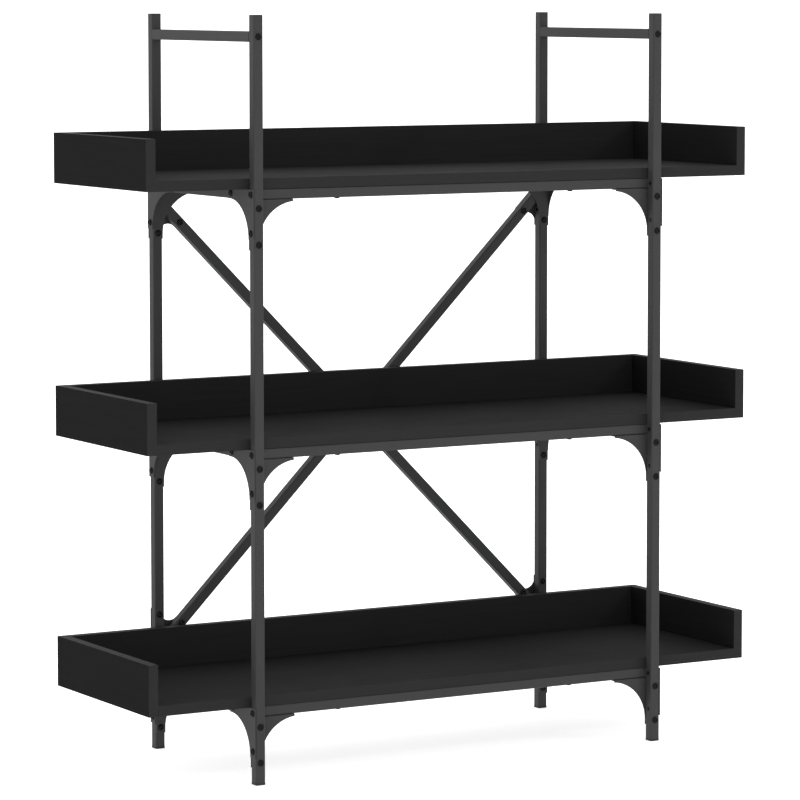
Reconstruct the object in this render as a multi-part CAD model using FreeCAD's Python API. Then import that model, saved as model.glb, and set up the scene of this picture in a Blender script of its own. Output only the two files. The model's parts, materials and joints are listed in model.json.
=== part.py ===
"""Bookcase: three black board trays on a bolted frame of square steel tube, with a cross brace behind.

Millimetres. X runs along the trays, Y from the front to the back, Z up from the floor.
"""
import FreeCAD, Part
import math
import os
from FreeCAD import Vector

os.makedirs("parts", exist_ok=True)

# ---------------------------------------------------------------- driving dimensions
post_rise = 170.3           # top of the highest tray's walls to the top of a post
frame_width = 680.0         # outer face to outer face of the posts, along X
frame_depth = 333.0         # outer face to outer face of the posts, along Y
tray_length = 1000.0
tray_underside = 109.6      # lowest tray's underside above the floor
tray_pitch = 366.0          # one tray's underside to the next
tray_height = 73.1          # underside to the top of the walls
board = 15.0                # board thickness
front_gap = 0.5             # between a tray and the front posts
head_gap = 0.2              # between a tray and the bolt heads behind it

tube = 15.0                 # outside of every square tube
tube_wall = 1.2
tube_corner = 2.0           # outside corner radius
sheet = 1.5                 # thickness of every bracket plate

foot_rim = 3.4              # height of a foot's visible rim
foot_lip = 0.4              # how far the rim stands out past the tube
cap_rim = 1.2
plug_length = 14.0
plug_gap = 0.1              # between a plug and the inside of its tube
bar_drop = 30.5             # top of a post to the middle of its top bar

web_reach = 55.0            # from the post's inner face to the web's tip
web_drop = 85.6             # tray underside to the web's lower end
web_radius = 60.0
web_toe = 7.5               # straight edge under the web's curve
flange_depth = 13.0
web_bolt_drops = (26.6, 77.6)
plate_reach = 61.5          # from the post's inner face to the end of the side plate
plate_drop = 71.0           # tray underside to the side plate's lower end
plate_radius = 56.0
side_bolt_drop = 61.8
rail_bolt_reach = 53.5      # from the post's inner face to the bolt through the side rail

brace_bolt_inset = 36.4     # from the post's centre to the brace bolt, along X
brace_bolt_drop = 62.6      # highest tray's underside to the upper brace bolt
brace_foot_rise = 75.9      # lowest tray's underside to the lower brace bolt
brace_gap = 0.5             # between a brace's end and the post
brace_plate_half = 7.0      # half the width of a brace plate's arm, which hides behind its tube
arch_radius = 17.3          # of the hollow between a brace plate's arm and its leg
arch_inset = 16.0           # from the post's inner face to the middle of the hollow
arch_drop = 20.0            # upper brace bolt to the middle of the hollow
joint_gap = 0.5             # between the crossing braces
cross_plate_side = 84.0
cross_plate_corner = 8.0
cross_bolt_reach = 30.0

bolt_radius = 2.9
bolt_gap = 0.2              # between a bolt's shank and its hole
head_radius = 5.0
head_height = 2.3
socket_width = 4.0
socket_depth = 1.3
nut_width = 10.0
nut_height = 3.0
bolt_tip = 1.0              # how far a bolt in a tapped wall comes out of it
screw_radius = 2.0
screw_head_radius = 3.8
screw_head_height = 1.8
screw_bite = 11.0           # how far a shelf screw goes into the floor board
snug = 0.05                 # round screws, dowels and cams in their holes

dowel_radius = 3.95
dowel_length = 30.0
cam_radius = 7.4
cam_skin = 3.0              # board left above a cam
cam_inset = 24.0            # from the board's end to the cam's centre
cam_bolt_radius = 3.0
cam_bolt_tip = 2.5          # from the cam's centre to the end of its bolt
cam_slot_gap = 0.5          # round the bolt inside the cam
cam_key = (8.0, 1.4, 1.6)   # length, width and depth of each arm of a cam's cross recess
peg_depth = 9.0             # hole depth for dowels and cam bolts in an outer board

# ---------------------------------------------------------------- worked-out places
post_x = frame_width / 2 - tube / 2
post_y = frame_depth / 2 - tube / 2
inner_x = frame_width / 2 - tube
inner_y = frame_depth / 2 - tube
rail_y = inner_y - sheet - tube / 2
tray_front = -inner_y + front_gap
tray_back = inner_y - head_height - head_gap
levels = {"bottom": tray_underside}
levels["middle"] = tray_underside + tray_pitch
levels["top"] = tray_underside + 2 * tray_pitch
post_height = levels["top"] + tray_height + post_rise
bar_z = post_height - bar_drop
bolt_hole = bolt_radius + bolt_gap
screw_hole = screw_radius + snug
corners = {"front_left": (-1, -1), "front_right": (1, -1), "back_left": (-1, 1), "back_right": (1, 1)}
back_reach = sheet + nut_height
middle_shift = (back_reach - head_height) / 2   # puts the origin midway between the outermost fasteners
brace_x = post_x - brace_bolt_inset
brace_top_z = levels["top"] - brace_bolt_drop
brace_low_z = levels["bottom"] + brace_foot_rise
brace_mid_z = (brace_top_z + brace_low_z) / 2
brace_slope = math.atan2(brace_top_z - brace_low_z, 2 * brace_x)
brace_end = (inner_x - brace_gap - brace_x - tube / 2 * math.sin(brace_slope)) / math.cos(brace_slope)
brace_half = math.hypot(brace_x, (brace_top_z - brace_low_z) / 2) + brace_end
brace_back = frame_depth / 2


# ---------------------------------------------------------------- helpers
def save(name, shape):
    """Move a finished node to the row's origin and write it."""
    solids = shape.Solids
    moved = solids[0] if len(solids) == 1 else Part.makeCompound(solids)
    moved.translate(Vector(0, -middle_shift, 0))
    moved.exportStep("parts/" + name + ".step")
    print(name, len(solids), "solid(s), volume", round(sum(s.Volume for s in solids)))


def block(x_range, y_range, z_range):
    size = [max(pair) - min(pair) for pair in (x_range, y_range, z_range)]
    return Part.makeBox(size[0], size[1], size[2], Vector(min(x_range), min(y_range), min(z_range)))


def rounded_bar(width, radius, length):
    """A square bar of rounded section, standing on the origin."""
    bar = Part.makeBox(width, width, length, Vector(-width / 2, -width / 2, 0))
    upright = [e for e in bar.Edges if abs(e.tangentAt(e.FirstParameter).z) > 0.9]
    return bar.makeFillet(radius, upright)


def square_tube(length):
    """A length of the frame's tube, standing on the origin."""
    bore = tube - 2 * tube_wall
    outside = rounded_bar(tube, tube_corner, length)
    inside = rounded_bar(bore, max(tube_corner - tube_wall, 0.4), length)
    return outside.cut(inside)


def plug(length):
    """What fills a tube's end, standing on the origin."""
    return rounded_bar(tube - 2 * tube_wall - 2 * plug_gap, max(tube_corner - tube_wall, 0.4), length)


def turned(shape, axis, place):
    """Lay a piece that stands along +Z along another axis and move it to its place."""
    result = shape.copy()
    if axis != Vector(0, 0, 1):
        rotation = FreeCAD.Rotation(Vector(0, 0, 1), axis)
        result.Placement = FreeCAD.Placement(Vector(0, 0, 0), rotation)
    result.translate(place)
    return result


def rod(radius, start, end):
    along = end - start
    return Part.makeCylinder(radius, along.Length, start, along)


def hexagon(width, height, place, axis):
    """A hexagonal prism of the given width across its flats, with two flats facing along X."""
    reach = width / math.sqrt(3)
    turns = [math.radians(60 * i + 30) for i in range(7)]
    outline = Part.makePolygon([Vector(reach * math.cos(a), reach * math.sin(a), 0) for a in turns])
    return turned(Part.Face(outline).extrude(Vector(0, 0, height)), axis, place)


def bolt(seat, into, length):
    """A low domed bolt with a hexagon socket: its head sits on seat, its shank runs along into."""
    out = into * -1.0
    head = Part.makeCylinder(head_radius, head_height, seat, out)
    crown = [e for e in head.Edges if (e.CenterOfMass - seat).dot(out) > head_height * 0.9]
    head = head.makeFillet(head_height * 0.7, crown)
    socket = hexagon(socket_width, head_height, seat + out * (head_height - socket_depth), out)
    return head.cut(socket).fuse(rod(bolt_radius, seat, seat + into * length))


def nut(seat, out):
    """A hexagon nut whose inner face sits on seat."""
    body = hexagon(nut_width, nut_height, seat, out)
    return body.cut(rod(bolt_hole, seat - out, seat + out * (nut_height + 1)))


def screw(seat, into, length):
    """A small domed screw: its head sits on seat, its shank runs along into."""
    out = into * -1.0
    head = Part.makeCylinder(screw_head_radius, screw_head_height, seat, out)
    crown = [e for e in head.Edges if (e.CenterOfMass - seat).dot(out) > screw_head_height * 0.9]
    head = head.makeFillet(screw_head_height * 0.6, crown)
    return head.fuse(rod(screw_radius, seat, seat + into * length))


def bored(shape, holes):
    """Drill a shape with rods given as (radius, start, end)."""
    for radius, start, end in holes:
        shape = shape.cut(rod(radius, start, end))
    return shape


def mirrored(shape, side_x, side_y):
    """Turn a piece made for the right, back corner into the one for another corner."""
    if side_x < 0:
        shape = shape.mirror(Vector(0, 0, 0), Vector(1, 0, 0))
    if side_y < 0:
        shape = shape.mirror(Vector(0, 0, 0), Vector(0, 1, 0))
    return shape


def outline_face(edges):
    return Part.Face(Part.Wire(Part.__sortEdges__(edges)))


def polyline(points):
    return [Part.LineSegment(a, b).toShape() for a, b in zip(points, points[1:])]


def quarter_arc(centre, radius, first, last):
    """A concave arc about centre, from the point at unit vector first to the one at last."""
    middle = (first + last).normalize()
    points = [centre + unit * radius for unit in (first, middle, last)]
    return Part.Arc(points[0], points[1], points[2]).toShape()


# ---------------------------------------------------------------- hole places shared by the pieces
X = Vector(1, 0, 0)
Y = Vector(0, 1, 0)
Z = Vector(0, 0, 1)


def side_bolt_heights(under):
    return (under - tube / 2, under - side_bolt_drop)


def brace_plate_heights():
    """Heights of the bolts that hold the brace plates to the back posts: upper pair, lower pair."""
    upper = [levels["top"] - drop for drop in web_bolt_drops]
    lower = [2 * brace_mid_z - z for z in upper]
    return upper, lower


def post_holes(side_x, side_y):
    """Every hole through one post."""
    holes = []
    along_y = [bar_z]
    for under in levels.values():
        for z in side_bolt_heights(under):
            centre = Vector(side_x * post_x, side_y * post_y, z)
            holes.append((bolt_hole, centre - X * tube, centre + X * tube))
        along_y += [under - drop for drop in web_bolt_drops]
    if side_y > 0:
        along_y += brace_plate_heights()[1]
    for z in along_y:
        centre = Vector(side_x * post_x, side_y * post_y, z)
        holes.append((bolt_hole, centre - Y * tube, centre + Y * tube))
    return holes


# ---------------------------------------------------------------- posts, feet, caps and top bars
feet = []
caps = []
for name, (side_x, side_y) in corners.items():
    base = Vector(side_x * post_x, side_y * post_y, foot_rim)
    post = square_tube(post_height - foot_rim - cap_rim)
    post.translate(base)
    save("post_" + name, bored(post, post_holes(side_x, side_y)))

    rim = rounded_bar(tube + 2 * foot_lip, tube_corner + foot_lip, foot_rim)
    rim = rim.makeChamfer(0.9, [e for e in rim.Edges if e.BoundBox.ZMax < 0.01])
    foot_plug = plug(plug_length)
    foot_plug.translate(Vector(0, 0, foot_rim))
    foot = rim.fuse(foot_plug)
    foot.translate(Vector(base.x, base.y, 0))
    feet.append(foot)

    cap = rounded_bar(tube, tube_corner, cap_rim)
    cap = cap.makeChamfer(0.5, [e for e in cap.Edges if e.BoundBox.ZMin > cap_rim - 0.01])
    cap_plug = plug(plug_length)
    cap_plug.translate(Vector(0, 0, -plug_length))
    cap = cap.fuse(cap_plug)
    cap.translate(Vector(base.x, base.y, post_height - cap_rim))
    caps.append(cap)
save("post_feet", Part.makeCompound(feet))
save("post_caps", Part.makeCompound(caps))

bar_bolts = []
bar_inserts = []
for side_x, name in ((-1, "left"), (1, "right")):
    start = Vector(side_x * post_x, -inner_y, bar_z)
    save("top_bar_" + name, turned(square_tube(2 * inner_y), Y, start))
    for side_y in (-1, 1):
        inward = Y * -side_y
        end = Vector(side_x * post_x, side_y * inner_y, bar_z)
        insert = turned(plug(plug_length), inward, end)
        bar_inserts.append(insert.cut(rod(bolt_hole, end - inward, end + inward * (plug_length + 1))))
        seat = Vector(side_x * post_x, side_y * frame_depth / 2, bar_z)
        bar_bolts.append(bolt(seat, inward, tube + plug_length - 2))
save("bar_inserts", Part.makeCompound(bar_inserts))
save("bar_bolts", Part.makeCompound(bar_bolts))


# ---------------------------------------------------------------- corner brackets
def corner_web(under):
    """The folded bracket of the right, back corner: an upright web with a flange under the rail."""
    top = under - tube
    low = under - web_drop
    outer = frame_width / 2
    tip = inner_x - web_reach
    arc_centre = Vector(inner_x - web_radius, 0, low + web_toe)
    tip_rise = math.sqrt(web_radius ** 2 - (tip - arc_centre.x) ** 2)
    tip_point = Vector(tip, 0, arc_centre.z + tip_rise)
    foot_point = Vector(inner_x, 0, arc_centre.z)
    toward_tip = (tip_point - arc_centre).normalize()
    edges = [quarter_arc(arc_centre, web_radius, toward_tip, X)]
    edges += polyline([foot_point, Vector(inner_x, 0, low), Vector(outer, 0, low)])
    edges += polyline([Vector(outer, 0, low), Vector(outer, 0, top), Vector(tip, 0, top), tip_point])
    web = outline_face(edges).extrude(Y * sheet)
    web.translate(Y * (inner_y - sheet))
    flange = block((tip, outer), (inner_y - flange_depth, inner_y), (top - sheet, top))
    bracket = web.fuse(flange).removeSplitter()
    folded = [e for e in bracket.Edges if lies_on(e, inner_y, top)]
    bracket = bracket.makeFillet(sheet * 0.9, folded)
    holes = []
    for drop in web_bolt_drops:
        centre = Vector(post_x, inner_y, under - drop)
        holes.append((bolt_hole, centre - Y * tube, centre + Y * tube))
    grip = Vector(flange_screw_x(), rail_y, top)
    holes.append((screw_hole, grip - Z * tube, grip + Z * tube))
    return bored(bracket, holes)


def lies_on(edge, y, z):
    """True for an edge that runs along X at the given y and z."""
    box = edge.BoundBox
    return max(abs(box.YMin - y), abs(box.YMax - y), abs(box.ZMin - z), abs(box.ZMax - z)) < 0.01


def flange_screw_x():
    return inner_x - web_reach + 12.0


def side_plate(under):
    """The flat gusset on the outside of the right, back corner."""
    low = under - plate_drop
    outer = frame_width / 2
    back = frame_depth / 2
    end = inner_y - plate_reach
    arc_centre = Vector(outer, inner_y - plate_radius, low)
    shoulder = arc_centre + Z * plate_radius
    edges = [quarter_arc(arc_centre, plate_radius, Y, Z)]
    edges += polyline([arc_centre + Y * plate_radius, Vector(outer, back, low), Vector(outer, back, under)])
    edges += polyline([Vector(outer, back, under), Vector(outer, end, under)])
    edges += polyline([Vector(outer, end, under), Vector(outer, end, shoulder.z), shoulder])
    plate = outline_face(edges).extrude(X * sheet)
    for y, z in side_bolt_places(under):
        centre = Vector(outer, y, z)
        plate = plate.cut(rod(bolt_hole, centre - X, centre + X * tube))
    return plate


def side_bolt_places(under):
    """(y, z) of the bolts through one back side plate: two through the post, one through the rail."""
    places = [(post_y, z) for z in side_bolt_heights(under)]
    return places + [(inner_y - rail_bolt_reach, under - tube / 2)]


for level, under in levels.items():
    webs = []
    plates = []
    for side_x, side_y in corners.values():
        webs.append(mirrored(corner_web(under), side_x, side_y))
        plates.append(mirrored(side_plate(under), side_x, side_y))
    save(level + "_corner_webs", Part.makeCompound(webs))
    save(level + "_side_plates", Part.makeCompound(plates))

# ---------------------------------------------------------------- rails under each tray
shelf_screw_x = inner_x * 0.6
for level, under in levels.items():
    rail_z = under - tube / 2
    for side_y, name in ((-1, "front"), (1, "back")):
        rail = turned(square_tube(2 * inner_x), X, Vector(-inner_x, side_y * rail_y, rail_z))
        holes = []
        for side_x in (-1, 1):
            grip = Vector(side_x * flange_screw_x(), side_y * rail_y, under - tube)
            holes.append((screw_hole, grip - Z, grip + Z * (tube_wall + 1)))
            grip = Vector(side_x * shelf_screw_x, side_y * rail_y, rail_z)
            holes.append((screw_hole, grip - Z * tube, grip + Z * tube))
        save(level + "_" + name + "_rail", bored(rail, holes))
    for side_x, name in ((-1, "left"), (1, "right")):
        rail = turned(square_tube(2 * inner_y), Y, Vector(side_x * post_x, -inner_y, rail_z))
        holes = []
        for side_y in (-1, 1):
            centre = Vector(side_x * post_x, side_y * (inner_y - rail_bolt_reach), rail_z)
            holes.append((bolt_hole, centre - X * tube, centre + X * tube))
        save(level + "_" + name + "_rail", bored(rail, holes))

# ---------------------------------------------------------------- trays
tray_half = tray_length / 2 - board
floor_back = tray_back - board
floor_mid_y = (tray_front + floor_back) / 2
floor_span_y = floor_back - tray_front
end_dowel_y = [floor_mid_y + floor_span_y * share for share in (-0.36, 0.36)]
end_cam_y = [floor_mid_y + floor_span_y * share for share in (-0.2, 0.2)]
back_dowel_x = [tray_half * share for share in (-0.6, 0.0, 0.6)]
back_cam_x = [tray_half * share for share in (-0.3, 0.3)]
dowels = []
cam_bolts = []
cam_locks = []


def cam_lock(low, toward):
    """A cam standing on low, slotted for the bolt that comes from toward, with a cross recess below."""
    height = board - cam_skin
    core = low + Z * (board / 2)
    cam = Part.makeCylinder(cam_radius, height, low)
    cam = cam.cut(rod(cam_bolt_radius + cam_slot_gap, core, core + toward * (2 * cam_radius)))
    length, width, depth = cam_key
    for across, along in ((length, width), (width, length)):
        arm = block((-across / 2, across / 2), (-along / 2, along / 2), (0, depth))
        cam = cam.cut(turned(arm, Z, low))
    return cam


def peg(outer_end, toward, length, radius):
    """A dowel or cam bolt that starts in the outer board and runs back along toward, with its hole."""
    hole = (radius + snug, outer_end, outer_end + toward * (length + snug))
    return rod(radius, outer_end + toward * snug, outer_end + toward * length), hole


for level, under in levels.items():
    core_z = under + board / 2
    upper_z = under + tray_height - board
    holes = []
    dowel_joints = []
    cam_joints = []
    for side_x in (-1, 1):
        inward = X * -side_x
        face_x = side_x * tray_half
        dowel_joints += [(Vector(face_x, y, core_z), inward) for y in end_dowel_y]
        dowel_joints.append((Vector(face_x, tray_back - board / 2, upper_z), inward))
        cam_joints += [(Vector(face_x, y, core_z), inward) for y in end_cam_y]
    dowel_joints += [(Vector(x, floor_back, core_z), Y * -1.0) for x in back_dowel_x]
    cam_joints += [(Vector(x, floor_back, core_z), Y * -1.0) for x in back_cam_x]
    for joint, inward in dowel_joints:
        dowel, hole = peg(joint - inward * peg_depth, inward, dowel_length, dowel_radius)
        dowels.append(dowel)
        holes.append(hole)
    for joint, inward in cam_joints:
        reach = peg_depth + cam_inset - cam_bolt_tip
        cam_bolt, hole = peg(joint - inward * peg_depth, inward, reach, cam_bolt_radius)
        cam_bolts.append(cam_bolt)
        holes.append(hole)
        low = Vector(joint.x, joint.y, under) + inward * cam_inset
        cam_locks.append(cam_lock(low, inward * -1.0))
        holes.append((cam_radius + snug, low - Z, low + Z * (board - cam_skin + snug)))
    for side_x, side_y in corners.values():
        pilot = Vector(side_x * shelf_screw_x, side_y * rail_y, under)
        holes.append((screw_hole, pilot - Z, pilot + Z * (screw_bite + snug)))

    floor = block((-tray_half, tray_half), (tray_front, floor_back), (under, under + board))
    back = block((-tray_half, tray_half), (floor_back, tray_back), (under, under + tray_height))
    save(level + "_floor_board", bored(floor, holes))
    save(level + "_back_board", bored(back, holes))
    for side_x, name in ((-1, "left"), (1, "right")):
        x_range = (side_x * tray_half, side_x * tray_length / 2)
        end_board = block(x_range, (tray_front, tray_back), (under, under + tray_height))
        save(level + "_" + name + "_end_board", bored(end_board, holes))
save("dowels", Part.makeCompound(dowels))
save("cam_bolts", Part.makeCompound(cam_bolts))
save("cam_locks", Part.makeCompound(cam_locks))


# ---------------------------------------------------------------- cross brace
def brace_direction(rising):
    """Unit vector along a brace, from left to right."""
    return Vector(math.cos(brace_slope), 0, math.sin(brace_slope) * (1 if rising else -1))


def brace_tube(start_reach, end_reach, rising):
    """Brace tube between two distances from the crossing, measured along the brace."""
    centre = Vector(0, brace_back - tube / 2, brace_mid_z)
    along = brace_direction(rising)
    piece = square_tube(end_reach - start_reach)
    piece.rotate(Vector(0, 0, 0), Y, math.degrees(math.atan2(along.x, along.z)))
    piece.translate(centre + along * start_reach)
    return piece


def brace_bolt_centres():
    """Brace bolts as (x, z, rising): two ends of the falling brace and two of the rising one."""
    return [(-brace_x, brace_top_z, False), (brace_x, brace_low_z, False),
            (brace_x, brace_top_z, True), (-brace_x, brace_low_z, True)]


def cross_bolt_reaches():
    return (-cross_bolt_reach, cross_bolt_reach)


def along_y_hole(x, z):
    return (bolt_hole, Vector(x, 0, z), Vector(x, brace_back + 2 * tube, z))


def crossing_point(reach, rising):
    along = brace_direction(rising)
    return (along.x * reach, brace_mid_z + along.z * reach)


bolt_line = [along_y_hole(x, z) for x, z, rising in brace_bolt_centres()]
for rising in (False, True):
    for reach in cross_bolt_reaches():
        x, z = crossing_point(reach, rising)
        bolt_line.append(along_y_hole(x, z))

# The rising brace stops short of the falling one by the joint gap, at whatever angle they cross.
crossing_angle = 2 * brace_slope
cut_reach = (tube / 2 + joint_gap) / math.sin(crossing_angle) + tube / 2 * abs(1 / math.tan(crossing_angle))
save("long_brace", bored(brace_tube(-brace_half, brace_half, False), bolt_line))
save("upper_short_brace", bored(brace_tube(cut_reach, brace_half, True), bolt_line))
save("lower_short_brace", bored(brace_tube(-brace_half, -cut_reach, True), bolt_line))

half_side = cross_plate_side / 2
cross_plate = block((-half_side, half_side), (brace_back, brace_back + sheet), (-half_side, half_side))
short_edges = [e for e in cross_plate.Edges if e.Length < sheet * 1.01]
cross_plate = cross_plate.makeFillet(cross_plate_corner, short_edges)
cross_plate.rotate(Vector(0, 0, 0), Y, 45)
cross_plate.translate(Z * brace_mid_z)
save("cross_plate", bored(cross_plate, bolt_line))


def brace_plate():
    """Flat plate behind the upper, right corner: a leg on the post, an arm on the brace, an arch between."""
    outer = frame_width / 2
    low = levels["top"] - web_drop
    top = levels["top"] - tube
    arm = brace_direction(True)
    side = Vector(-arm.z, 0, arm.x) * brace_plate_half
    pivot = Vector(brace_x, 0, brace_top_z)
    arm_top = pivot + side + arm * ((top - brace_top_z - side.z) / arm.z)

    middle = Vector(inner_x - arch_inset, 0, brace_top_z - arch_drop)
    arch_foot = Vector(inner_x, 0, middle.z + math.sqrt(arch_radius ** 2 - arch_inset ** 2))
    along = (middle - pivot).dot(arm)
    aside = (middle - pivot - arm * along + side).Length
    arch_start = pivot - side + arm * (along + math.sqrt(arch_radius ** 2 - aside ** 2))

    crown = ((arch_start - middle).normalize() + (arch_foot - middle).normalize()).normalize()
    edges = [Part.Arc(pivot + side, pivot - arm * brace_plate_half, pivot - side).toShape()]
    edges.append(Part.Arc(arch_start, middle + crown * arch_radius, arch_foot).toShape())
    edges += polyline([pivot - side, arch_start])
    edges += polyline([arch_foot, Vector(inner_x, 0, low), Vector(outer, 0, low), Vector(outer, 0, top)])
    edges += polyline([Vector(outer, 0, top), arm_top, pivot + side])
    plate = outline_face(edges).extrude(Y * sheet)
    plate.translate(Y * brace_back)
    return plate


def flipped(shape):
    """Turn an upper brace plate into a lower one, about the height of the crossing."""
    return shape.mirror(Z * brace_mid_z, Z)


plate_bolt_holes = []
upper_heights, lower_heights = brace_plate_heights()
for side_x in (-1, 1):
    for z in upper_heights + lower_heights:
        plate_bolt_holes.append(along_y_hole(side_x * post_x, z))
for side_x, name in ((-1, "left"), (1, "right")):
    upper = mirrored(brace_plate(), side_x, 1)
    save("upper_" + name + "_brace_plate", bored(upper, bolt_line + plate_bolt_holes))
    save("lower_" + name + "_brace_plate", bored(flipped(upper), bolt_line + plate_bolt_holes))

# ---------------------------------------------------------------- fasteners of the frame
side_bolts = []
web_bolts = []
web_nuts = []
bracket_screws = []
shelf_screws = []
for level, under in levels.items():
    for side_x, side_y in corners.values():
        for y, z in side_bolt_places(under):
            seat = Vector(side_x * (frame_width / 2 + sheet), side_y * y, z)
            side_bolts.append(bolt(seat, X * -side_x, sheet + tube + bolt_tip))
        screw_seat = Vector(side_x * flange_screw_x(), side_y * rail_y, under - tube - sheet)
        bracket_screws.append(screw(screw_seat, Z, sheet + tube_wall + 4))
        screw_seat = Vector(side_x * shelf_screw_x, side_y * rail_y, under - tube)
        shelf_screws.append(screw(screw_seat, Z, tube + screw_bite))
    for side_x in (-1, 1):
        upper_z, lower_z = [under - drop for drop in web_bolt_drops]
        for z in (upper_z, lower_z):
            seat = Vector(side_x * post_x, -frame_depth / 2, z)
            web_bolts.append(bolt(seat, Y, tube + sheet + nut_height))
            web_nuts.append(nut(Vector(seat.x, -inner_y + sheet, z), Y))
        rear = sheet if level == "top" else 0.0
        seat = Vector(side_x * post_x, frame_depth / 2 + rear, upper_z)
        web_bolts.append(bolt(seat, Y * -1.0, rear + tube + sheet))
        seat = Vector(side_x * post_x, inner_y - sheet, lower_z)
        web_bolts.append(bolt(seat, Y, sheet + tube + rear + nut_height))
        web_nuts.append(nut(Vector(seat.x, frame_depth / 2 + rear, lower_z), Y))
save("side_bolts", Part.makeCompound(side_bolts))
save("web_bolts", Part.makeCompound(web_bolts))
save("web_nuts", Part.makeCompound(web_nuts))
save("bracket_screws", Part.makeCompound(bracket_screws))
save("shelf_screws", Part.makeCompound(shelf_screws))

brace_bolts = []
brace_nuts = []
through = tube + sheet + nut_height
rear_face = brace_back + sheet
for x, z, rising in brace_bolt_centres():
    brace_bolts.append(bolt(Vector(x, brace_back - tube, z), Y, through))
    brace_nuts.append(nut(Vector(x, rear_face, z), Y))
for side_x in (-1, 1):
    shown_z, hidden_z = lower_heights[1], lower_heights[0]
    brace_bolts.append(bolt(Vector(side_x * post_x, inner_y, shown_z), Y, through))
    brace_nuts.append(nut(Vector(side_x * post_x, rear_face, shown_z), Y))
    brace_bolts.append(bolt(Vector(side_x * post_x, rear_face, hidden_z), Y * -1.0, tube + sheet))
for rising in (False, True):
    for reach in cross_bolt_reaches():
        x, z = crossing_point(reach, rising)
        brace_bolts.append(bolt(Vector(x, rear_face, z), Y * -1.0, tube + sheet))
save("brace_bolts", Part.makeCompound(brace_bolts))
save("brace_nuts", Part.makeCompound(brace_nuts))
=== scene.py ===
# %% [markdown]
# # A bookcase of square steel tube and black board
#
# The real bookcase comes flat in a carton: four upright tubes, twelve rails, three shallow trays of black
# board, a cross brace for the back, and a bag of bolts. The measured model of all of it is loaded first and
# stays where it is. This lesson dresses it: better finishes for what already has its shape, and new pieces
# where a closer look shows more than a plain solid does, such as bolt heads, nuts, feet and softened edges.

# %% Load the measured model
import bmesh
import bpy
import json
import math
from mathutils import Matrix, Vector


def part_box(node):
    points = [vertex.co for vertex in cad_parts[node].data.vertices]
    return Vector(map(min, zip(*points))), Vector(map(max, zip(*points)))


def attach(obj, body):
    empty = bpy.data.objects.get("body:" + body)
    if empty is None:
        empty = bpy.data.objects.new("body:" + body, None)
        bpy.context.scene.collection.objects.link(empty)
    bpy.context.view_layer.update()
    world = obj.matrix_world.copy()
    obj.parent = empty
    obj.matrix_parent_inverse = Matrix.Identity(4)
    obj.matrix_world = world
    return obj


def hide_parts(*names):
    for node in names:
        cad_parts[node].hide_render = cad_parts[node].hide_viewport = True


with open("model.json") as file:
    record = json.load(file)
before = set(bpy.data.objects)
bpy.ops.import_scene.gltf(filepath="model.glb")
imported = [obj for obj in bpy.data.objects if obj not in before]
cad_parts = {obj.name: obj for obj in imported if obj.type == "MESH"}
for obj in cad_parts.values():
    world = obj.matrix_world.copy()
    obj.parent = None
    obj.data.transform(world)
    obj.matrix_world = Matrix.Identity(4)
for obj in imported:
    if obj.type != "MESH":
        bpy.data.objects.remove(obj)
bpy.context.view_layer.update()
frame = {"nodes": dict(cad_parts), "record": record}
nodes = frame["nodes"]
MM = 0.001

# %% [markdown]
# ## The camera first
#
# A long lens a little left of the bookcase and just above its top keeps the uprights nearly parallel, as in
# a catalogue. Setting it before anything else means that every later look is a fair comparison. The shift
# is small: most of the downward view comes from tilting the camera, so that other views stay centred.

# %% Place the camera
CAMERA_PLACE = Vector((-2.9362, -5.1162, 1.1234))
CAMERA_TURN = 0.5283        # radians to the right of straight ahead
CAMERA_DIP = 0.0789         # radians below level
ahead = Vector((math.sin(CAMERA_TURN) * math.cos(CAMERA_DIP),
                math.cos(CAMERA_TURN) * math.cos(CAMERA_DIP), -math.sin(CAMERA_DIP)))
lens = bpy.data.cameras.new("catalogue_camera")
lens.lens = 180.4
lens.sensor_width = 36.0
lens.shift_x = -0.0438
lens.shift_y = -0.12
lens.clip_end = 200.0
camera = bpy.data.objects.new("catalogue_camera", lens)
camera.location = CAMERA_PLACE
camera.rotation_euler = ahead.to_track_quat("-Z", "Y").to_euler()
bpy.context.scene.collection.objects.link(camera)
bpy.context.scene.camera = camera
print("camera dips", round(math.degrees(CAMERA_DIP), 1), "degrees")

# %% [markdown]
# ## Writing shader maths as plain expressions
#
# A finish is a small web of nodes. Wiring them by hand hides the idea, so one class wraps a socket and lets
# it be added, multiplied and raised like a number, and another owns the material and makes every other
# node. A pattern then reads as the sum it is.


# %% A socket that behaves like a number
class Wire:
    """One output of a node, for use in expressions."""

    def __init__(self, finish, node, output=0):
        self.finish = finish
        self.source = node
        self.socket = node.outputs[output]

    def __getitem__(self, output):
        return Wire(self.finish, self.source, output)

    def combine(self, operation, first, second):
        return self.finish.node("ShaderNodeMath", {"operation": operation}, {0: first, 1: second})

    def __add__(self, other):
        return self.combine("ADD", self, other)

    def __sub__(self, other):
        return self.combine("SUBTRACT", self, other)

    def __rsub__(self, other):
        return self.combine("SUBTRACT", other, self)

    def __mul__(self, other):
        return self.combine("MULTIPLY", self, other)

    __radd__ = __add__
    __rmul__ = __mul__


print("sockets can be added, subtracted and multiplied")


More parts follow.
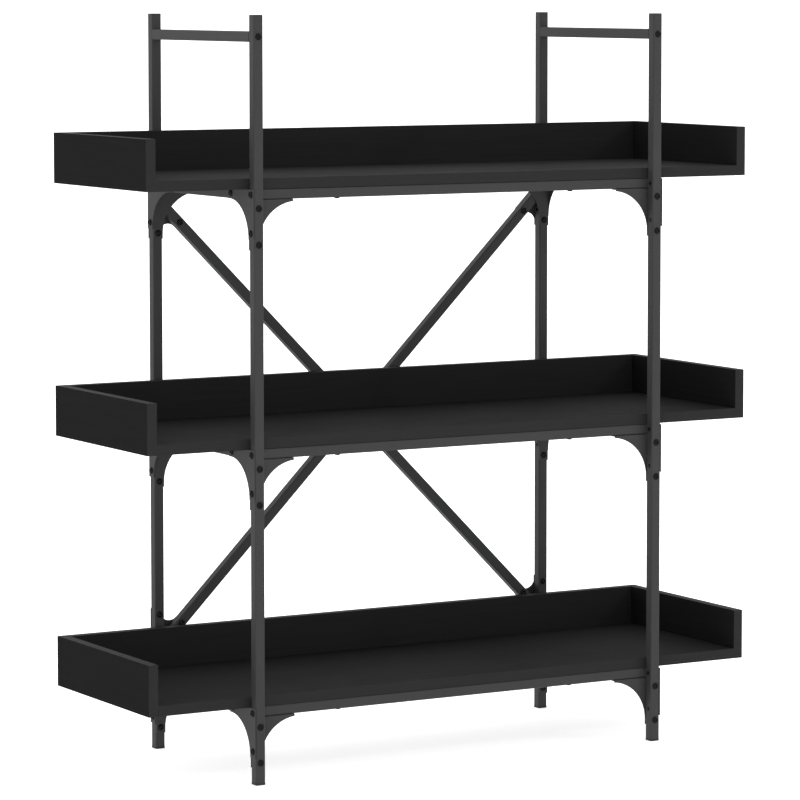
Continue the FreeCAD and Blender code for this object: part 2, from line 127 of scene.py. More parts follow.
# %% A finish: one material and the one method that makes its nodes
class Finish:
    """A material on the Principled shader. What stays the same all over is set on the shader itself."""

    def __init__(self, name, **steady):
        self.material = bpy.data.materials.new(name)
        self.material.use_nodes = True
        self.tree = self.material.node_tree
        self.tree.nodes.clear()
        self.shader = self.tree.nodes.new("ShaderNodeBsdfPrincipled")
        output = self.tree.nodes.new("ShaderNodeOutputMaterial")
        self.tree.links.new(self.shader.outputs[0], output.inputs[0])
        self.set(**steady)

    def set(self, **values):
        """Values or wires for the shader's sockets, named with underscores for spaces."""
        for name, value in values.items():
            self.plug(self.shader.inputs[name.replace("_", " ").title().replace("Ior", "IOR")], value)
        return self

    def plug(self, socket, value):
        if isinstance(value, Wire):
            self.tree.links.new(value.socket, socket)
        elif isinstance(value, (tuple, list)) and socket.type == "RGBA" and len(value) == 3:
            socket.default_value = (*value, 1.0)
        else:
            socket.default_value = value

    def node(self, kind, settings=None, sockets=None):
        made = self.tree.nodes.new(kind)
        for name, value in (settings or {}).items():
            if name == "stops":
                ramp = made.color_ramp
                while len(ramp.elements) < len(value):
                    ramp.elements.new(0.5)
                for element, (place, level) in zip(ramp.elements, value):
                    element.position = place
                    element.color = (level, level, level, 1.0)
            else:
                setattr(made, name, value)
        for name, value in (sockets or {}).items():
            self.plug(made.inputs[name], value)
        return Wire(self, made)

    def place(self, scale=(1, 1, 1), turn=(0, 0, 0)):
        """Position on the object in metres, stretched and turned for a pattern."""
        where = self.node("ShaderNodeTexCoord")["Object"]
        return self.node("ShaderNodeMapping", {}, {"Vector": where, "Scale": scale, "Rotation": turn})

    def noise(self, where, scale, detail=3.0, roughness=0.5):
        sockets = {"Vector": where, "Scale": scale, "Detail": detail, "Roughness": roughness}
        return self.node("ShaderNodeTexNoise", {}, sockets)["Fac"]

    def ramp(self, value, stops):
        return self.node("ShaderNodeValToRGB", {"stops": stops}, {0: value})["Color"]

    def mix(self, share, first, second):
        """A blend of two colours."""
        sockets = {0: share, 6: first, 7: second}
        return self.node("ShaderNodeMix", {"data_type": "RGBA"}, sockets)[2]

    def bump(self, height, distance, strength=1.0):
        sockets = {"Height": height, "Distance": distance, "Strength": strength}
        return self.node("ShaderNodeBump", {}, sockets)


print("a finish is made with Finish(name, steady values) and then .set(varying wires)")

# %% [markdown]
# ## Powder coat for the tubes and plates
#
# The steel is sprayed with dry powder and baked. Up close that leaves a very fine orange-peel skin, a broad
# unevenness from one pass of the gun to the next, and here and there a rub from packing. It could be one
# grey, but the skin is what makes the highlight soft and slightly broken, so each of the three is a noise at
# its own scale. Position on the object drives them, so neighbouring tubes never repeat.

# %% Powder coat
PEEL_HEIGHT = 0.04 * MM


def powder_coat(name, colour, roughness):
    coat = Finish(name, metallic=0.0, specular_ior_level=0.22)
    where = coat.place()
    broad = coat.noise(where, 9.0, 2.0)
    peel = coat.noise(where, 850.0, 2.0, 0.6)
    specks = coat.ramp(coat.noise(where, 1900.0, 1.0), [(0.60, 0.0), (0.72, 1.0)])
    rub = coat.ramp(coat.noise(coat.place((1.0, 1.0, 0.25)), 60.0, 5.0, 0.65), [(0.60, 0.0), (0.78, 1.0)])
    tint = coat.mix(broad, [c * 0.88 for c in colour], [c * 1.12 for c in colour])
    tint = coat.mix(specks * 0.25, tint, [c * 1.9 for c in colour])
    tint = coat.mix(rub * 0.20, tint, [c * 1.6 for c in colour])
    coat.set(base_color=tint)
    coat.set(roughness=roughness + (broad - 0.5) * 0.10 + (peel - 0.5) * 0.12 - rub * 0.06)
    coat.set(normal=coat.bump(peel + specks * 0.4, PEEL_HEIGHT, 0.55))
    return coat.material


tube_coat = powder_coat("tube_powder_coat", (0.0400, 0.0400, 0.0403), 0.46)
plate_coat = powder_coat("plate_powder_coat", (0.0385, 0.0385, 0.0388), 0.42)
print("made", tube_coat.name, "and", plate_coat.name)

# %% [markdown]
# ## Black board
#
# The trays are chipboard faced with black melamine paper. The press leaves a faint pore pattern that runs
# along each board, the face is satin rather than shiny, and hands leave dull patches. A plain black would
# look like a hole in the picture. The pores are a noise stretched along the board, and because an end board
# runs front to back, the pattern can be turned. The end boards also take a darker, less glossy copy of the
# same melamine: that is painted shade, for how their side-facing faces fall darker under this light. The cut
# edges carry a thin plastic band of a slightly paler black, which draws the outline of each tray.

# %% Melamine-faced board
PORES_ALONG = 6.0           # pattern scale along a board and across it
PORES_ACROSS = 210.0
SATIN = 0.60
PORE_DEPTH = 0.06 * MM


def melamine(name, ink_low, ink_high, gloss, along_y=False):
    face = Finish(name, metallic=0.0, specular_ior_level=gloss)
    stretch = [PORES_ACROSS] * 3
    stretch[1 if along_y else 0] = PORES_ALONG
    pores = face.noise(face.place(stretch), 1.0, 4.0, 0.6)
    fine = face.noise(face.place([s * 3.1 for s in stretch]), 1.0, 2.0, 0.5)
    hands = face.ramp(face.noise(face.place(), 7.0, 4.0, 0.6), [(0.45, 0.0), (0.75, 1.0)])
    dust = face.ramp(face.noise(face.place(), 1400.0, 1.0), [(0.70, 0.0), (0.80, 1.0)])
    ink = face.mix(pores, [ink_low] * 3, [ink_high] * 3)
    ink = face.mix(dust * 0.08, ink, (0.03, 0.03, 0.03))
    face.set(base_color=ink)
    face.set(roughness=SATIN + (pores - 0.5) * 0.12 + (fine - 0.5) * 0.08 + hands * 0.07)
    face.set(normal=face.bump(pores * 0.7 + fine * 0.3, PORE_DEPTH, 0.5))
    return face.material


board_face = melamine("melamine_along_tray", 0.0175, 0.0260, 0.02)
# Painted shade: the end boards' copy of the melamine is inked darker and made less glossy than the same board
# elsewhere, for the shade on their side faces.
shaded_end_face = melamine("melamine_front_to_back", 0.0110, 0.0165, 0.004, along_y=True)
edge_band = melamine("melamine_edge_band", 0.0190, 0.0250, 0.10)
print("made", board_face.name + ",", shaded_end_face.name, "and", edge_band.name)

# %% [markdown]
# ## The small finishes
#
# Feet and caps are moulded plastic with a fine spark-eroded grain. Bolts are blackened steel: darker in the
# pits, brighter where a key has turned, and smooth enough for a dot of light on a head. Cams are cast zinc
# with a grainy skin, and the dowels inside the joints are beech, with long pale fibres. Each gets its own
# short recipe, because a shared one would make them look cut from one block.

# %% Moulded plastic
plastic = Finish("moulded_black_plastic", specular_ior_level=0.42)
where = plastic.place()
grain = plastic.noise(where, 1500.0, 2.0)
flow = plastic.noise(where, 70.0, 3.0)
plastic.set(base_color=plastic.mix(flow, (0.010, 0.010, 0.0105), (0.019, 0.019, 0.0195)))
plastic.set(roughness=0.42 + (grain - 0.5) * 0.2 + flow * 0.08)
plastic.set(normal=plastic.bump(grain, 0.05 * MM, 0.5))
print("made", plastic.material.name)

# %% Blackened steel
bolt_black = Finish("blackened_steel", metallic=0.15, specular_ior_level=0.18)
where = bolt_black.place()
pits = bolt_black.noise(where, 1800.0, 3.0, 0.6)
turned = bolt_black.ramp(bolt_black.noise(where, 420.0, 2.0), [(0.50, 0.0), (0.72, 1.0)])
worn = turned * 0.5 + pits * 0.2
bolt_black.set(base_color=bolt_black.mix(worn, (0.004, 0.004, 0.0044), (0.018, 0.018, 0.019)))
bolt_black.set(roughness=0.16 + pits * 0.08 - turned * 0.04)
bolt_black.set(normal=bolt_black.bump(pits, 0.03 * MM, 0.5))
print("made", bolt_black.material.name)

# %% Cast zinc
zinc = Finish("cast_zinc", metallic=1.0)
where = zinc.place()
cast = zinc.noise(where, 1100.0, 4.0, 0.6)
dull = zinc.noise(where, 160.0, 3.0)
zinc.set(base_color=zinc.mix(dull, (0.40, 0.40, 0.41), (0.62, 0.62, 0.63)))
zinc.set(roughness=0.30 + dull * 0.22)
zinc.set(normal=zinc.bump(cast, 0.05 * MM, 0.6))
print("made", zinc.material.name)

# %% Beech
beech = Finish("beech", specular_ior_level=0.35)
fibre = beech.noise(beech.place((60.0, 60.0, 900.0)), 1.0, 4.0, 0.6)
fleck = beech.ramp(beech.noise(beech.place(), 900.0, 2.0), [(0.62, 0.0), (0.70, 1.0)])
wood = beech.mix(fibre, (0.56, 0.37, 0.21), (0.72, 0.53, 0.34))
beech.set(base_color=beech.mix(fleck * 0.5, wood, (0.36, 0.21, 0.11)))
beech.set(roughness=0.62 + fibre * 0.14)
beech.set(normal=beech.bump(fibre, 0.08 * MM, 0.6))
print("made", beech.material.name)

# %% [markdown]
# ## Dress the measured pieces
#
# Tubes, rails and braces already have the right section, rounded corners and bolt holes, so they stay, and
# only take a finish. What is replaced later is dressed too, so nothing is ever left bare.

# %% Give every measured node its finish
FINISH_OF_SLOT = {
    "tube_paint": tube_coat, "plate_paint": plate_coat, "black_laminate": board_face,
    "black_plastic": plastic.material, "black_fastener": bolt_black.material,
    "cam_zinc": zinc.material, "beech_dowel": beech.material,
}
slot_of_node = {part["node"]: part["material_slot"] for part in frame["record"]["subparts"]}
for name, piece in nodes.items():
    # End boards take the darker copy of the melamine, which is painted shade.
    finish = shaded_end_face if name.endswith("_end_board") else FINISH_OF_SLOT[slot_of_node[name]]
    for spot in piece.material_slots:
        spot.material = finish
print("dressed", len(nodes), "nodes")

# %% [markdown]
# ## Softened edges on boards and plates
#
# A sawn and banded board has an edge radius of about half a millimetre, and a punched plate has a small
# roll-over. Neither is worth drawing in the measured model, but both catch a thin line of light that the
# eye reads as "real". The way used here is to copy the measured mesh, join its loose triangles back into
# flat faces, and bevel only the sharp edges. Drawing each board again by hand would lose the bolt holes.


# %% A helper that copies a measured node and rounds its sharp edges
def softened(node, width, steps, finish, band=None):
    """The band, where one is given, goes on the narrow faces round the rim of a board."""
    name = node + "_finished"
    mesh = bpy.data.meshes.new(name)
    work = bmesh.new()
    work.from_mesh(nodes[node].data)
    bmesh.ops.remove_doubles(work, verts=work.verts, dist=1e-6)
    bmesh.ops.dissolve_limit(work, angle_limit=math.radians(0.5), verts=work.verts, edges=work.edges)
    sharp = [e for e in work.edges if len(e.link_faces) == 2 and e.calc_face_angle() > math.radians(50)]
    made = bmesh.ops.bevel(work, geom=sharp, offset=width, segments=steps, profile=0.5,
                           affect="EDGES", clamp_overlap=True)
    for face in made["faces"]:
        face.smooth = True
    bmesh.ops.triangulate(work, faces=[f for f in work.faces if len(f.verts) > 4])
    mesh.materials.append(finish)
    if band:
        low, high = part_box(node)
        thin = min(range(3), key=lambda i: high[i] - low[i])
        ends = [(i, place[i]) for place in (low, high) for i in range(3) if i != thin]
        for face in work.faces:
            outer = any(abs(face.calc_center_median()[i] - end) < 2 * width for i, end in ends)
            face.material_index = 1 if outer and abs(face.normal[thin]) < 0.7 else 0
        mesh.materials.append(band)
    work.to_mesh(mesh)
    work.free()
    piece = bpy.data.objects.new(name, mesh)
    bpy.context.scene.collection.objects.link(piece)
    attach(piece, "root")
    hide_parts(node)


# %% Soften the boards
LEVELS = ("bottom", "middle", "top")
BOARD_ROUND = 0.6 * MM
for level in LEVELS:
    for board in ("floor_board", "back_board", "left_end_board", "right_end_board"):
        # End boards keep the darker copy of the melamine, which is painted shade.
        face = shaded_end_face if "end" in board else board_face
        node = level + "_" + board
        softened(node, BOARD_ROUND, 3, face, edge_band)
print("softened", 4 * len(LEVELS), "boards")

# %% Soften the plates
PLATE_ROUND = 0.22 * MM
plate_nodes = [n for n in nodes if slot_of_node[n] == "plate_paint"]
for node in plate_nodes:
    softened(node, PLATE_ROUND, 2, plate_coat)
print("softened", len(plate_nodes), "plate nodes")

# %% [markdown]
# ## Turned pieces from stacked outlines
#
# A bolt, a nut, a foot and a dowel are all one idea: outlines stacked along an axis and joined by strips of
# faces. The outline may be a circle, a hexagon for a socket or a nut, a cross for a screwdriver, or a
# rounded square for a plug. Giving every outline the same number of points makes the strips trivial to
# join, and puts no stretched faces where one shape turns into another.

# %% Outlines with the same number of points
POINTS = 24


def circle(radius):
    turns = [2 * math.pi * i / POINTS for i in range(POINTS)]
    return [(radius * math.cos(a), radius * math.sin(a)) for a in turns]


def hexagon(flats):
    """A hexagon, by its width across the flats."""
    points = []
    for i in range(POINTS):
        turn = 2 * math.pi * i / POINTS
        from_flat = (turn + math.pi / 6) % (math.pi / 3) - math.pi / 6
        reach = flats / 2 / math.cos(from_flat)
        points.append((reach * math.cos(turn), reach * math.sin(turn)))
    return points


def cross(reach, width):
    """A plus sign, for a cross recess."""
    half = width / 2
    middle = (reach + half) / 2
    quarter = [(reach, 0), (reach, half), (middle, half), (half, half), (half, middle), (half, reach)]
    points = []
    for i in range(4):
        a = math.pi / 2 * i
        points += [(x * math.cos(a) - y * math.sin(a), x * math.sin(a) + y * math.cos(a)) for x, y in quarter]
    return points


def rounded_square(half, radius):
    """A square with rounded corners, by half its width. Each corner takes five points, each side one."""
    points = []
    for i in range(4):
        spin = math.pi / 2 * i
        local = [(half, 0.0)]
        for step in range(5):
            a = math.pi / 2 * step / 4
            local.append((half - radius + radius * math.cos(a), half - radius + radius * math.sin(a)))
        points += [(x * math.cos(spin) - y * math.sin(spin), x * math.sin(spin) + y * math.cos(spin))
                   for x, y in local]
    return points


def fluted(radius, groove):
    turns = [2 * math.pi * i / POINTS for i in range(POINTS)]
    reaches = [radius if i % 2 else radius - groove for i in range(POINTS)]
    return [(r * math.cos(a), r * math.sin(a)) for r, a in zip(reaches, turns)]


print("outlines have", POINTS, "points each")


# %% Stack outlines into a closed piece
def stacked(name, layers, ring=False):
    """Layers are (outline, height) in millimetres, from the bottom of the outside round to the top's middle.
    A ring piece joins its last layer to its first. Any other is closed at both ends."""
    work = bmesh.new()
    rows = [[work.verts.new((x * MM, y * MM, z * MM)) for x, y in outline] for outline, z in layers]
    pairs = list(zip(rows, rows[1:]))
    if ring:
        pairs.append((rows[-1], rows[0]))
    else:
        work.faces.new(list(reversed(rows[0])))
        work.faces.new(rows[-1])
    for lower, upper in pairs:
        for i in range(POINTS):
            j = (i + 1) % POINTS
            work.faces.new((lower[i], lower[j], upper[j], upper[i]))
    bmesh.ops.recalc_face_normals(work, faces=work.faces)
    mesh = bpy.data.meshes.new(name)
    work.to_mesh(mesh)
    work.free()
    mesh.shade_smooth()
    mesh.set_sharp_from_angle(angle=math.radians(38))
    piece = bpy.data.objects.new(name, mesh)
    bpy.context.scene.collection.objects.link(piece)
    return piece


# %% [markdown]
# ## Bolts, nuts and screws
#
# A head is a dome with a flat land round the socket; the thread shows only where it leaves a nut. A helix
# would be truer but no one can tell it from stacked grooves at this size, and grooves keep the mesh light
# and closed.

# %% Sizes in millimetres, and the two parts that bolts and screws share
BOLT_RADIUS = 2.88
BOLT_THREAD = 9.0           # how far the thread runs from the tip
BOLT_HEAD = 2.3             # height of the head
SOCKET = 4.0                # across the flats of the key's socket
NUT_FLATS = 9.9
NUT_HEIGHT = 3.0
SCREW_RADIUS = 1.95
SCREW_HEAD = 1.8


def thread(radius, groove, bottom, top, pitch):
    """Grooves from bottom to top."""
    layers = []
    for i in range(int((top - bottom) / pitch)):
        z = bottom + i * pitch
        layers += [(circle(radius), z), (circle(radius), z + pitch * 0.25),
                   (circle(radius - groove), z + pitch * 0.5), (circle(radius - groove), z + pitch * 0.75)]
    return layers


def dome(land, reach, seat, rise, steps):
    """Circles from the rim of a head, over its curve, to the flat land at the top."""
    turns = [math.pi / 2 * step / steps for step in range(1, steps + 1)]
    return [(circle(land + reach * math.cos(a)), seat + rise * math.sin(a)) for a in turns]


print("bolt heads are", BOLT_HEAD, "mm high and nuts", NUT_HEIGHT, "mm")


# %% Patterns for one bolt, one nut and one screw
def bolt_pattern(length):
    """A button-head bolt: its seat at the origin, its head up and its shank down."""
    layers = [(circle(2.3), -length), (circle(2.85), -length + 0.5)]
    layers += thread(BOLT_RADIUS, 0.32, -length + 0.8, -length + BOLT_THREAD, 1.0)
    layers += [(circle(BOLT_RADIUS), -length + BOLT_THREAD + 0.2), (circle(BOLT_RADIUS), 0.0)]
    layers += [(circle(4.6), 0.0), (circle(4.92), 0.2)]
    layers += dome(2.95, 2.0, 0.35, 1.93, 5)
    layers += [(circle(2.62), BOLT_HEAD - 0.03), (hexagon(SOCKET + 0.25), BOLT_HEAD - 0.1)]
    layers += [(hexagon(SOCKET), BOLT_HEAD - 0.25), (hexagon(SOCKET), 1.0), (circle(1.2), 0.75)]
    return stacked("bolt_pattern", layers)


def nut_pattern():
    """A hexagon nut standing on the origin."""
    layers = [(circle(3.45), 0.02), (circle(4.72), 0.02)]
    layers += [(hexagon(NUT_FLATS), 0.5), (hexagon(NUT_FLATS), NUT_HEIGHT - 0.5)]
    layers += [(circle(4.72), NUT_HEIGHT - 0.02), (circle(3.45), NUT_HEIGHT - 0.02)]
    for z in (2.6, 2.1, 1.6, 1.1, 0.6):
        layers += [(circle(3.02), z), (circle(3.25), z - 0.25)]
    return stacked("nut_pattern", layers, ring=True)


def screw_pattern(length):
    """A pan-head screw with a cross recess: its seat at the origin, its head up and its shank down."""
    layers = [(circle(0.4), -length), (circle(1.5), -length + 1.6)]
    layers += thread(SCREW_RADIUS, 0.5, -length + 2.0, -0.8, 1.2)
    layers += [(circle(SCREW_RADIUS), 0.0), (circle(3.5), 0.0), (circle(3.75), 0.25)]
    layers += dome(2.5, 1.2, 0.4, 1.36, 4)
    layers += [(cross(1.95, 0.9), 1.72), (cross(1.8, 0.75), 1.55), (cross(1.1, 0.6), 0.5)]
    return stacked("screw_pattern", layers)


print("patterns ready for bolts, nuts and screws")

# %% [markdown]
# ## Where each fastener goes
#
# The measured model already has a solid for every bolt and nut, so nothing is placed by eye. Each node's
# loose triangles are joined, split into separate solids, and every solid gives a seat, a direction and a
# length. For a bolt the wide end is the head.


# %% Read seats and directions from a measured node
def solids_of(node):
    """The corner points of each separate solid in a node, in the order of the node's own corners."""
    work = bmesh.new()
    work.from_mesh(nodes[node].data)
    bmesh.ops.remove_doubles(work, verts=work.verts, dist=1e-6)
    unseen = set(work.verts)
    groups = []
    for first in work.verts:
        if first not in unseen:
            continue
        unseen.discard(first)
        queue = [first]
        group = []
        while queue:
            corner = queue.pop()
            group.append(corner.co.copy())
            for edge in corner.link_edges:
                other = edge.other_vert(corner)
                if other in unseen:
                    unseen.discard(other)
                    queue.append(other)
        groups.append(group)
    work.free()
    return groups


def extent(points):
    """The lowest and the highest corner of the box round some points."""
    return [Vector([pick(p[i] for p in points) for i in range(3)]) for pick in (min, max)]


def along_axis(axis, side=1.0):
    return Vector([side if i == axis else 0.0 for i in range(3)])


print("side bolts found:", len(solids_of("side_bolts")))


# %% Read how a bolt or a screw stands
def stance(points, head_height):
    """Seat, direction out of the head, and length below the seat, of a bolt or screw."""
    low, high = extent(points)
    middle = (low + high) / 2
    axis = max(range(3), key=lambda i: high[i] - low[i])
    wide = {}
    for end, place in ((-1, low[axis]), (1, high[axis])):
        near = [p for p in points if abs(p[axis] - place) < head_height * 1.02]
        wide[end] = max((p - middle).length_squared - (p[axis] - middle[axis]) ** 2 for p in near)
    side = max(wide, key=wide.get)
    out = along_axis(axis, float(side))
    tip = high[axis] if side > 0 else low[axis]
    seat = middle.copy()
    seat[axis] = tip - side * head_height
    return seat, out, high[axis] - low[axis] - head_height


some_bolt = solids_of("bar_bolts")[0]
print("a bar bolt is", round(stance(some_bolt, BOLT_HEAD * MM)[2] / MM, 1), "mm long below its head")

# %% [markdown]
# ## One node tree sets them all
#
# The tree takes a cloud of seats with a facing direction on each, puts a copy of the pattern on every seat,
# turns it to face out, and then spins it about its own axis by a different amount. No two sockets in a real
# bookcase line up, and that small disorder is what an even row would lack. Realising the copies and setting
# the finish last turns the result into one plain mesh.


# %% Build the fastener tree
def fastener_tree():
    tree = bpy.data.node_groups.new("set_fasteners", "GeometryNodeTree")
    face = tree.interface
    face.new_socket("Seats", in_out="INPUT", socket_type="NodeSocketGeometry")
    face.new_socket("Pattern", in_out="INPUT", socket_type="NodeSocketObject")
    face.new_socket("Spin", in_out="INPUT", socket_type="NodeSocketFloat")
    face.new_socket("Seed", in_out="INPUT", socket_type="NodeSocketInt")
    face.new_socket("Finish", in_out="INPUT", socket_type="NodeSocketMaterial")
    face.new_socket("Fasteners", in_out="OUTPUT", socket_type="NodeSocketGeometry")

    def add(kind, settings=None, sockets=None):
        made = tree.nodes.new(kind)
        for name, value in (settings or {}).items():
            setattr(made, name, value)
        for name, value in (sockets or {}).items():
            if isinstance(value, bpy.types.NodeSocket):
                tree.links.new(value, made.inputs[name])
            else:
                made.inputs[name].default_value = value
        return made.outputs

    given = add("NodeGroupInput")
    facing = add("GeometryNodeInputNamedAttribute", {"data_type": "FLOAT_VECTOR"}, {"Name": "facing"})
    turned_out = add("FunctionNodeAlignRotationToVector", {"axis": "Z"}, {"Vector": facing["Attribute"]})
    amount = add("FunctionNodeRandomValue", {"data_type": "FLOAT"},
                 {2: 0.0, 3: given["Spin"], "Seed": given["Seed"]})
    about = add("FunctionNodeAxisAngleToRotation", {}, {"Axis": (0.0, 0.0, 1.0), "Angle": amount[1]})
    spun = add("FunctionNodeRotateRotation", {"rotation_space": "LOCAL"},
               {"Rotation": turned_out[0], "Rotate By": about[0]})
    pattern = add("GeometryNodeObjectInfo", {}, {"Object": given["Pattern"]})
    copies = add("GeometryNodeInstanceOnPoints", {},
                 {"Points": given["Seats"], "Instance": pattern["Geometry"], "Rotation": spun[0]})
    real = add("GeometryNodeRealizeInstances", {}, {"Geometry": copies[0]})
    done = add("GeometryNodeSetMaterial", {}, {"Geometry": real[0], "Material": given["Finish"]})
    add("NodeGroupOutput", {}, {"Fasteners": done[0]})
    return tree


SET_FASTENERS = fastener_tree()
print("tree", SET_FASTENERS.name, "has", len(SET_FASTENERS.nodes), "nodes")


# %% Run the tree and keep a plain mesh
def set_out(name, stances, pattern, finish, seed, spin=2 * math.pi):
    """One mesh of copies of a pattern, one at each (seat, direction)."""
    cloud = bpy.data.meshes.new(name + "_seats")
    cloud.from_pydata([seat for seat, out in stances], [], [])
    facing = cloud.attributes.new("facing", "FLOAT_VECTOR", "POINT")
    facing.data.foreach_set("vector", [c for seat, out in stances for c in out])
    holder = bpy.data.objects.new(name + "_seats", cloud)
    bpy.context.scene.collection.objects.link(holder)
    modifier = holder.modifiers.new("set_fasteners", "NODES")
    modifier.node_group = SET_FASTENERS
    values = {"Pattern": pattern, "Spin": spin, "Seed": seed, "Finish": finish}
    for item in SET_FASTENERS.interface.items_tree:
        if item.in_out == "INPUT" and item.name in values:
            modifier[item.identifier] = values[item.name]
    holder.update_tag()
    evaluated = holder.evaluated_get(bpy.context.evaluated_depsgraph_get())
    mesh = bpy.data.meshes.new_from_object(evaluated)
    mesh.name = name
    holder.modifiers.remove(modifier)
    bpy.data.objects.remove(holder)
    return mesh


def joined(name, meshes, finish):
    """Several meshes as one piece at the origin."""
    work = bmesh.new()
    for mesh in meshes:
        work.from_mesh(mesh)
        bpy.data.meshes.remove(mesh)
    whole = bpy.data.meshes.new(name)
    work.to_mesh(whole)
    work.free()
    whole.materials.clear()
    whole.materials.append(finish)
    piece = bpy.data.objects.new(name, whole)
    bpy.context.scene.collection.objects.link(piece)
    return piece


def keep(piece, node):
    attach(piece, "root")
    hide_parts(node)
    print(piece.name, "has", len(piece.data.polygons), "faces and replaces", node)


# %% Bolts in all their lengths
for node in ("bar_bolts", "side_bolts", "web_bolts", "brace_bolts"):
    by_length = {}
    for points in solids_of(node):
        seat, out, length = stance(points, BOLT_HEAD * MM)
        by_length.setdefault(round(length / MM, 1), []).append((seat, out))
    meshes = []
    for seed, (length, stances) in enumerate(sorted(by_length.items())):
        pattern = bolt_pattern(length)
        meshes.append(set_out(node, stances, pattern, bolt_black.material, 11 + seed))
        bpy.data.objects.remove(pattern)
    keep(joined(node + "_threaded", meshes, bolt_black.material), node)


# %% Nuts
NUT_SPIN = 0.15             # radians, so that most of each nut stays in line with its tube


def nut_stance(points):
    """The low face of a nut and the direction of its bore. Both of its faces are alike."""
    low, high = extent(points)
    axis = min(range(3), key=lambda i: high[i] - low[i])
    seat = (low + high) / 2
    seat[axis] = low[axis]
    return seat, along_axis(axis)


nut = nut_pattern()
for node in ("web_nuts", "brace_nuts"):
    stances = [nut_stance(points) for points in solids_of(node)]
    mesh = set_out(node, stances, nut, bolt_black.material, 5, NUT_SPIN)
    keep(joined(node + "_hexagon", [mesh], bolt_black.material), node)
bpy.data.objects.remove(nut)

# %% Screws
for node in ("bracket_screws", "shelf_screws"):
    stances = [stance(points, SCREW_HEAD * MM) for points in solids_of(node)]
    pattern = screw_pattern(stances[0][2] / MM)
    mesh = set_out(node, [s[:2] for s in stances], pattern, bolt_black.material, 3)
    bpy.data.objects.remove(pattern)
    keep(joined(node + "_cross_recess", [mesh], bolt_black.material), node)

# %% [markdown]
# ## Feet, caps and dowels
#
# Each post ends in a push-in plastic foot: a soft-edged rim under the tube and a ribbed plug inside it. The
# cap on top is the same idea turned over. Dowels are fluted so that glue can escape. They are stacked
# outlines again, and the same tree sets them out, with no spin for the square ones.

# %% Feet and caps
foot_low, foot_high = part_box("post_feet")
cap_low, cap_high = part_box("post_caps")
FOOT_HALF = 7.9             # half the width of the foot's rim, in millimetres
FOOT_RIM = 3.4              # height of the rim
CAP_HALF = 7.48
CAP_RIM = 1.2
PLUG_HALF = 6.15            # half the width over the ribs
PLUG_LENGTH = 13.9
RIBS = 4
corner_x = foot_high.x - FOOT_HALF * MM
corner_y = [foot_low.y + FOOT_HALF * MM, foot_high.y - FOOT_HALF * MM]
post_places = [(sx * corner_x, y) for sx in (-1, 1) for y in corner_y]


def squares(rows):
    """Rounded squares from rows of half width, corner radius and height."""
    return [(rounded_square(half, radius), height) for half, radius, height in rows]


def ribbed_plug(bottom):
    rows = []
    step = PLUG_LENGTH / RIBS
    for i in range(RIBS):
        z = bottom + i * step
        rows += [(PLUG_HALF - 0.7, 0.5, z + step * 0.15), (PLUG_HALF - 0.7, 0.5, z + step * 0.55),
                 (PLUG_HALF, 0.7, z + step * 0.7), (PLUG_HALF - 0.1, 0.7, z + step * 0.95)]
    return squares(rows)


def set_on_posts(name, layers, height, node):
    """One plastic plug on every post, at one height."""
    pattern = stacked(name + "_pattern", layers)
    up = Vector((0.0, 0.0, 1.0))
    places = [(Vector((x, y, height)), up) for x, y in post_places]
    mesh = set_out(name, places, pattern, plastic.material, 1, 0.0)
    bpy.data.objects.remove(pattern)
    keep(joined(node + "_moulded", [mesh], plastic.material), node)


foot_layers = squares([(5.2, 1.2, 0.5), (5.6, 1.3, 0.0), (6.9, 1.8, 0.0), (7.45, 2.1, 0.22), (7.8, 2.3, 0.75),
                       (FOOT_HALF, 2.4, 1.5), (FOOT_HALF, 2.4, 3.1), (7.7, 2.3, 3.38), (6.1, 0.8, FOOT_RIM)])
set_on_posts("feet", foot_layers + ribbed_plug(FOOT_RIM), 0.0, "post_feet")

cap_layers = squares([(6.9, 1.5, 0.0), (7.3, 1.9, -0.08), (CAP_HALF, 2.0, -0.35), (CAP_HALF, 2.0, -1.15),
                      (6.1, 0.8, -CAP_RIM)])
cap_layers += [(outline, -z) for outline, z in ribbed_plug(CAP_RIM)]
set_on_posts("caps", cap_layers, cap_high.z, "post_caps")

# %% Dowels
dowel_stances = []
for points in solids_of("dowels"):
    low, high = extent(points)
    axis = max(range(3), key=lambda i: high[i] - low[i])
    dowel_length = (high[axis] - low[axis]) / MM
    dowel_stances.append(((low + high) / 2, along_axis(axis)))
half_length = dowel_length / 2
dowel_layers = [(circle(2.9), -half_length), (fluted(3.6, 0.15), -half_length + 0.8),
                (fluted(3.92, 0.3), -half_length + 1.6), (fluted(3.92, 0.3), half_length - 1.6),
                (fluted(3.6, 0.15), half_length - 0.8), (circle(2.9), half_length)]
dowel = stacked("dowel_pattern", dowel_layers)
mesh = set_out("dowels", dowel_stances, dowel, beech.material, 8)
bpy.data.objects.remove(dowel)
keep(joined("dowels_fluted", [mesh], beech.material), "dowels")

# %% [markdown]
# ## Floor and light
#
# A black object on white is a problem of reflections: what the eye sees on it is mostly the room. So the
# paper is a bright sweep with no corner, and it is kept out of reflections, because seen at a slant it would
# turn every left face pale. Those faces reflect the even room instead. A small lamp at the front right
# lights the fronts of the posts, a faint broad one stands to the left, and a soft one above is for the tray
# floors.

# %% Sweep
BEND_STEPS = 12


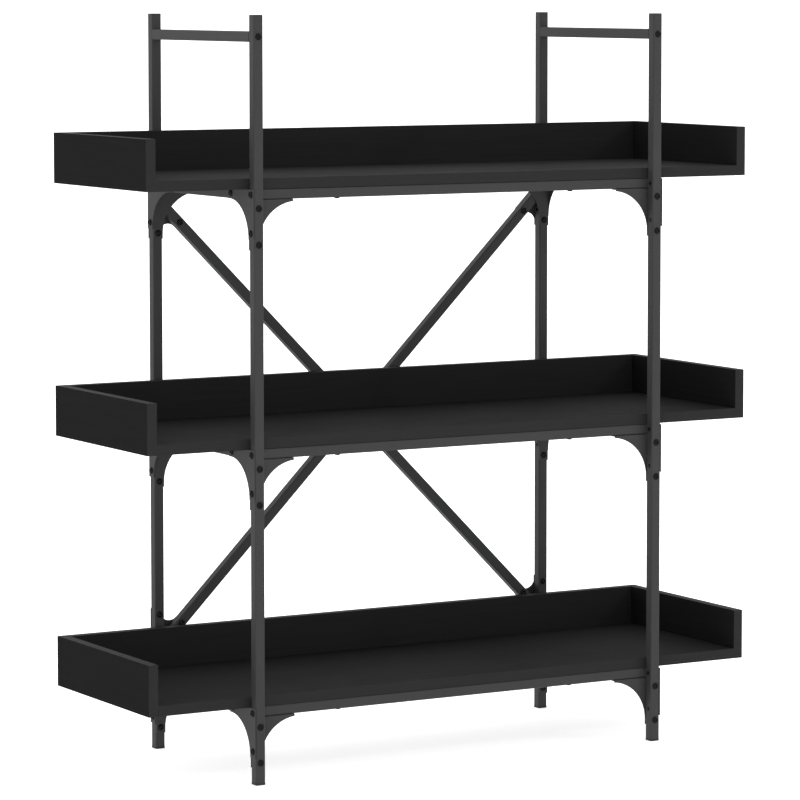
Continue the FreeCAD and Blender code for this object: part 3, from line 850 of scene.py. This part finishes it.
def sweep(name, back, rise, radius, half_width, front, finish):
    """A floor that curves up into a wall far behind."""
    profile = [(front, 0.0), (back - radius, 0.0)]
    for step in range(1, BEND_STEPS + 1):
        a = math.pi / 2 * step / BEND_STEPS
        profile.append((back - radius + radius * math.sin(a), radius - radius * math.cos(a)))
    profile.append((back, rise))
    corners = [(side * half_width, y, z) for y, z in profile for side in (-1, 1)]
    faces = [(2 * i, 2 * i + 1, 2 * i + 3, 2 * i + 2) for i in range(len(profile) - 1)]
    mesh = bpy.data.meshes.new(name)
    mesh.from_pydata(corners, [], faces)
    mesh.materials.append(finish)
    mesh.shade_smooth()
    piece = bpy.data.objects.new(name, mesh)
    bpy.context.scene.collection.objects.link(piece)
    piece.visible_glossy = False


paper = Finish("studio_paper", specular_ior_level=0.1)
tone = paper.noise(paper.place(), 1.2, 3.0)
paper.set(base_color=paper.mix(tone, (0.90, 0.90, 0.90), (0.93, 0.93, 0.93)), roughness=0.9)
paper.set(emission_color=(1.0, 1.0, 1.0), emission_strength=0.72)
sweep("studio_floor", back=9.0, rise=9.0, radius=3.0, half_width=14.0, front=-9.0, finish=paper.material)
print("floor laid,", BEND_STEPS, "steps in the bend")


# %% Lights
def softbox(name, place, aim, size, power):
    light = bpy.data.lights.new(name, "AREA")
    light.shape = "RECTANGLE"
    light.size, light.size_y = size
    light.energy = power
    lamp = bpy.data.objects.new(name, light)
    lamp.location = place
    lamp.rotation_euler = (Vector(aim) - Vector(place)).to_track_quat("-Z", "Y").to_euler()
    bpy.context.scene.collection.objects.link(lamp)


MIDDLE = (0.0, 0.0, 0.55)
softbox("left_light", (-4.2, 0.6, 1.6), MIDDLE, size=(2.6, 3.0), power=8.0)
softbox("key_light", (4.2, -4.0, 3.6), MIDDLE, size=(0.4, 0.4), power=32.0)
softbox("top_light", (0.2, 0.8, 4.2), MIDDLE, size=(3.2, 3.2), power=36.0)
room = bpy.data.worlds.new("pale_room")
room.use_nodes = True
room.node_tree.nodes["Background"].inputs["Color"].default_value = (1.0, 1.0, 1.0, 1.0)
room.node_tree.nodes["Background"].inputs["Strength"].default_value = 0.8
bpy.context.scene.world = room
bpy.context.scene.view_settings.view_transform = "Standard"
bpy.context.scene.view_settings.look = "None"
